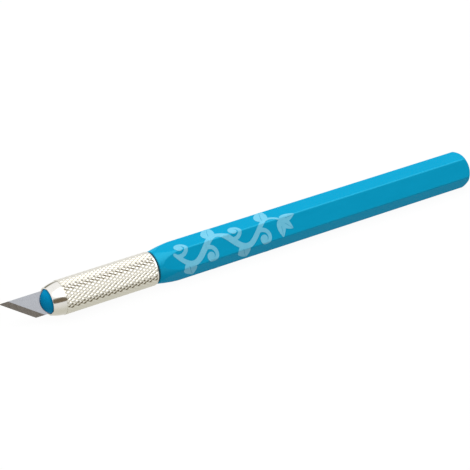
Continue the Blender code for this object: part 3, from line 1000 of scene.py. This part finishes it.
def attribute(tree, name):
    """A number that the mesh holds at its vertices."""
    node = tree.nodes.new("ShaderNodeAttribute")
    node.attribute_name = name
    return node.outputs["Fac"]


def spread(tree, factor, low, high, start=NOISE_START, end=NOISE_END, interpolation="LINEAR"):
    """A number that runs from low to high as the factor runs from start to end."""
    node = tree.nodes.new("ShaderNodeMapRange")
    node.interpolation_type = interpolation
    node.inputs["From Min"].default_value = start
    node.inputs["From Max"].default_value = end
    node.inputs["To Min"].default_value = low
    node.inputs["To Max"].default_value = high
    tree.links.new(factor, node.inputs["Value"])
    return node.outputs["Result"]


def tint(tree, factor, low, high):
    """A colour between two, by a factor; either colour may be another socket."""
    node = tree.nodes.new("ShaderNodeMix")
    node.data_type = "RGBA"
    for name, colour in (("A", low), ("B", high)):
        socket = next(s for s in node.inputs if s.name == name and s.type == "RGBA")
        if isinstance(colour, tuple):
            socket.default_value = (*colour, 1.0)
        else:
            tree.links.new(colour, socket)
    tree.links.new(factor, node.inputs["Factor"])
    return next(s for s in node.outputs if s.type == "RGBA")


def bump(tree, shader, height, strength, depth):
    """Bump of a depth in millimetres."""
    node = tree.nodes.new("ShaderNodeBump")
    node.inputs["Strength"].default_value = strength
    node.inputs["Distance"].default_value = depth * MM
    tree.links.new(height, node.inputs["Height"])
    tree.links.new(node.outputs["Normal"], shader.inputs["Normal"])


def plastic(name, deep, light, ridge_highlight, roughness, specular):
    """Satin moulded plastic: faint flow marks in the colour, a painted highlight along the upper ridges, a
    fine grain and uneven gloss.
    """
    material, tree, shader = principled(name, light, roughness, 0.0, specular)
    flow = noise(tree, FLOW_NOISE)
    grain = noise(tree, GRAIN_NOISE, FINE_DETAIL)
    # Painted highlight: a paler colour where the mesh marks its upper ridges
    edge = attribute(tree, "ridge_highlight")
    marbled = tint(tree, spread(tree, flow, 0.0, 1.0), deep, light)
    tree.links.new(tint(tree, edge, marbled, ridge_highlight), shader.inputs["Base Color"])
    gloss = spread(tree, grain, roughness - GRAIN_GLOSS, roughness + GRAIN_GLOSS)
    tree.links.new(gloss, shader.inputs["Roughness"])
    bump(tree, shader, grain, *GRAIN_BUMP)
    return material


def printed_ink():
    """Thin pale ink, a little patchy where the blue shows through."""
    material, tree, shader = principled("printed_ink", PRINT_PALE, INK_ROUGHNESS, 0.0, INK_SPECULAR)
    patch = noise(tree, INK_PATCH_NOISE, RICH_DETAIL)
    thin = tuple(INK_SHARE * pale + INK_BLUE_SHARE * blue for pale, blue in zip(PRINT_PALE, HANDLE_BLUE))
    tree.links.new(tint(tree, spread(tree, patch, 0.0, 1.0), thin, PRINT_PALE), shader.inputs["Base Color"])
    bump(tree, shader, noise(tree, INK_GRAIN_NOISE, FINE_DETAIL), *INK_BUMP)
    return material


def knurled_aluminium():
    """Bright turned aluminium with a warm painted shade in the knurl's pits, and painted shade that greys it
    where nearby surfaces such as the floor occlude it.
    """
    material, tree, shader = principled("knurled_aluminium", ALUMINIUM, ALUMINIUM_ROUGHNESS[1], 1.0)
    height = spread(tree, attribute(tree, "relief"), 0.0, 1.0, *GROOVE_SHADE_RELIEF)
    mottle = noise(tree, MOTTLE_NOISE, RICH_DETAIL)
    worn = scaled(ALUMINIUM, WORN_SHARE)
    clean = tint(tree, spread(tree, mottle, 0.0, 1.0), worn, ALUMINIUM)
    # Painted shade: greyer where ambient occlusion finds the floor or other surfaces close by
    occlusion = tree.nodes.new("ShaderNodeAmbientOcclusion")
    occlusion.inputs["Distance"].default_value = SHADE_REACH * MM
    unshaded = spread(tree, occlusion.outputs["AO"], 0.0, 1.0, *SHADE_SPAN)
    # Painted shade: a darker warm tone down the knurl's grooves and pits
    groove_shaded = tint(tree, height, ALUMINIUM_GROOVE_SHADE, clean)
    tree.links.new(tint(tree, unshaded, ALUMINIUM_PAINTED_SHADE, groove_shaded), shader.inputs["Base Color"])
    tree.links.new(spread(tree, mottle, *ALUMINIUM_ROUGHNESS), shader.inputs["Roughness"])
    bump(tree, shader, noise(tree, TURNING_NOISE, FINE_DETAIL), *TURNING_BUMP)
    return material


def ground_steel(name, colour, roughness, lines):
    """Steel with fine grinding lines; lines gives features per millimetre along, across and through."""
    material, tree, shader = principled(name, colour, roughness, 1.0)
    streak = noise(tree, lines, MEDIUM_DETAIL, -SLOT_ANGLE_DEG)
    cloud = noise(tree, CLOUD_NOISE)
    dull = scaled(colour, DULL_SHARE)
    shade = tint(tree, spread(tree, streak, 0.0, 1.0), dull, colour)
    faded = scaled(colour, FADED_SHARE)
    clouded = tint(tree, spread(tree, cloud, 0.0, CLOUD_STRENGTH), shade, faded)
    tree.links.new(clouded, shader.inputs["Base Color"])
    gloss = spread(tree, streak, roughness - LINE_GLOSS, roughness + LINE_GLOSS)
    tree.links.new(gloss, shader.inputs["Roughness"])
    bump(tree, shader, streak, *LINE_BUMP)
    return material


def seam_shade_rubber():
    """Dark rubber with a fine, lighter speckle; its dark teal also serves as painted shade in the seam's gap.
    """
    material, tree, shader = principled("seam_shade_rubber", SEAM_SHADE_RUBBER, RUBBER_ROUGHNESS, 0.0, RUBBER_SPECULAR)
    speckle = noise(tree, SPECKLE_NOISE)
    gain, lift = RUBBER_FADING
    faded = tuple(gain * value + lift for value in SEAM_SHADE_RUBBER)
    tree.links.new(tint(tree, spread(tree, speckle, 0.0, 1.0), SEAM_SHADE_RUBBER, faded), shader.inputs["Base Color"])
    bump(tree, shader, speckle, *SPECKLE_BUMP)
    return material


# Stage


def view_direction():
    """From the knife towards the camera."""
    turn = math.radians(CAMERA_TURN_DEG)
    rise = math.radians(CAMERA_ELEVATION_DEG)
    return Vector((-math.sin(turn) * math.cos(rise), -math.cos(turn) * math.cos(rise), math.sin(rise)))


def make_camera():
    """A camera that sees the knife as the photograph does, fitted to the handle's edges."""
    sight = view_direction()
    right = Vector((0, 0, 1)).cross(sight).normalized()
    up = sight.cross(right)
    target = seam_frame() @ Vector((CAMERA_TARGET * MM, 0.0, 0.0))
    position = target + sight * CAMERA_DISTANCE * MM
    per_pixel = CAMERA_DISTANCE * MM / FOCAL_PIXELS
    middle = IMAGE_PIXELS / 2
    aim = target - right * (TARGET_PIXEL[0] - middle) * per_pixel
    aim += up * (TARGET_PIXEL[1] - middle) * per_pixel
    data = bpy.data.cameras.new("camera")
    data.sensor_width = SENSOR_WIDTH
    data.lens = FOCAL_PIXELS / IMAGE_PIXELS * SENSOR_WIDTH
    data.clip_start, data.clip_end = CAMERA_CLIP
    camera = bpy.data.objects.new("camera", data)
    camera.location = position
    camera.rotation_euler = (aim - position).to_track_quat("-Z", "Y").to_euler()
    bpy.context.scene.collection.objects.link(camera)
    bpy.context.scene.camera = camera


def product(tree, a, b):
    """Two numbers multiplied."""
    node = tree.nodes.new("ShaderNodeMath")
    node.operation = "MULTIPLY"
    tree.links.new(a, node.inputs[0])
    tree.links.new(b, node.inputs[1])
    return node.outputs["Value"]


def smooth_step(tree, value, start, end, low, high):
    """A number that eases from low to high as a value runs from start to end."""
    return spread(tree, value, low, high, start, end, "SMOOTHSTEP")


def towards(tree, source, direction):
    """The cosine between the direction looked in and another one."""
    node = tree.nodes.new("ShaderNodeVectorMath")
    node.operation = "DOT_PRODUCT"
    node.inputs[1].default_value = direction
    tree.links.new(source.outputs["Generated"], node.inputs[0])
    return node.outputs["Value"]


def opening(tree, source, turn_deg, sides, bottom, top):
    """How much of a darker opening in the tent lies in the direction looked in."""
    turn = math.radians(turn_deg)
    facing = towards(tree, source, (-math.sin(turn), -math.cos(turn), 0.0))
    height = towards(tree, source, (0.0, 0.0, 1.0))
    share = smooth_step(tree, facing, *sides, 0.0, 1.0)
    share = product(tree, share, smooth_step(tree, height, *bottom, 0.0, 1.0))
    return product(tree, share, smooth_step(tree, height, *top, 1.0, 0.0))


def make_light():
    """A white tent that glows high up at the front, with darker openings from the horizon up, and a lamp
    overhead that adds no reflections."""
    world = bpy.data.worlds.new("studio")
    bpy.context.scene.world = world
    world.use_nodes = True
    tree = world.node_tree
    background = tree.nodes["Background"]
    source = tree.nodes.new("ShaderNodeTexCoord")
    level = scaled(TENT_WARMTH, TENT_LEVEL)
    bright = scaled(TENT_WARMTH, GLOW_LEVEL)
    glow = smooth_step(tree, towards(tree, source, GLOW_DIRECTION), *GLOW_COSINES, 0.0, 1.0)
    tent = tint(tree, glow, level, bright)
    rear = opening(tree, source, REAR_TURN_DEG, REAR_SIDES, REAR_BOTTOM, REAR_TOP)
    front = opening(tree, source, OPENING_TURN_DEG, OPENING_SIDES, OPENING_BOTTOM, OPENING_TOP)
    skirt = opening(tree, source, SKIRT_TURN_DEG, SKIRT_SIDES, SKIRT_BOTTOM, SKIRT_TOP)
    walls = tint(tree, skirt, tint(tree, rear, tent, REAR_COLOUR), SKIRT_COLOUR)
    tree.links.new(tint(tree, front, walls, OPENING_COLOUR), background.inputs["Color"])
    data = bpy.data.lights.new("lamp", "AREA")
    data.energy = LAMP_POWER
    data.size = LAMP_SIZE * MM
    lamp = bpy.data.objects.new("lamp", data)
    lamp.location = Vector(LAMP_PLACE) * MM
    lamp.rotation_euler = lamp.location.to_track_quat("Z", "Y").to_euler()
    lamp.visible_glossy = False
    lamp.visible_camera = False
    bpy.context.scene.collection.objects.link(lamp)


def make_floor():
    """A plain floor that glows an even white, as a light table does."""
    half = FLOOR_SIZE / 2 * MM
    mesh = bpy.data.meshes.new("floor")
    corners = [(-half, -half), (half, -half), (half, half), (-half, half)]
    mesh.from_pydata([(x, y, -FLOOR_DROP * MM) for x, y in corners], [], [(0, 1, 2, 3)])
    material, _, shader = principled("floor", (FLOOR_GREY,) * 3, 1.0, 0.0, 0.0)
    shader.inputs["Emission Color"].default_value = (1.0, 1.0, 1.0, 1.0)
    shader.inputs["Emission Strength"].default_value = FLOOR_GLOW
    mesh.materials.append(material)
    floor = bpy.data.objects.new("floor", mesh)
    bpy.context.scene.collection.objects.link(floor)


def make_knife():
    """Every piece of the knife, each with its material."""
    collet_blues = (scaled(COLLET_BLUE, COLLET_DEEP_SHARE), COLLET_BLUE, COLLET_BLUE)
    collet = plastic("collet_plastic", *collet_blues, COLLET_ROUGHNESS, COLLET_SPECULAR)
    handle_blues = (HANDLE_BLUE_DEEP, HANDLE_BLUE, HANDLE_RIDGE_HIGHLIGHT)
    make_handle(plastic("handle_plastic", *handle_blues, HANDLE_ROUGHNESS, HANDLE_SPECULAR))
    make_print(printed_ink())
    make_collar(knurled_aluminium())
    make_washer(seam_shade_rubber())
    make_spigot(collet)
    make_jaw("jaw_upper", 1, "upper_jaw", "collet_jaw_upper", collet)
    make_jaw("jaw_lower", -1, "lower_jaw", "collet_jaw_lower", collet)
    flat_steel = ground_steel("blade_flat", STEEL, STEEL_ROUGHNESS, STEEL_LINES)
    bevel_steel = ground_steel("blade_bevel", STEEL_BEVEL, BEVEL_ROUGHNESS, BEVEL_LINES)
    make_blade(flat_steel, bevel_steel)


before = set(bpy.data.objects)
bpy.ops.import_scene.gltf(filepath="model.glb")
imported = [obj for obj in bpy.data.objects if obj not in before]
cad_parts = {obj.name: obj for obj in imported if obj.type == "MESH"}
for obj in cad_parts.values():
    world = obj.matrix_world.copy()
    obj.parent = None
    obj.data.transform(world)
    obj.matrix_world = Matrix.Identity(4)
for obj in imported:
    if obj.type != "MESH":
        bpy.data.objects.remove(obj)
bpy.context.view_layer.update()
make_knife()
make_floor()
make_light()
make_camera()
bpy.context.scene.view_settings.view_transform = "Standard"
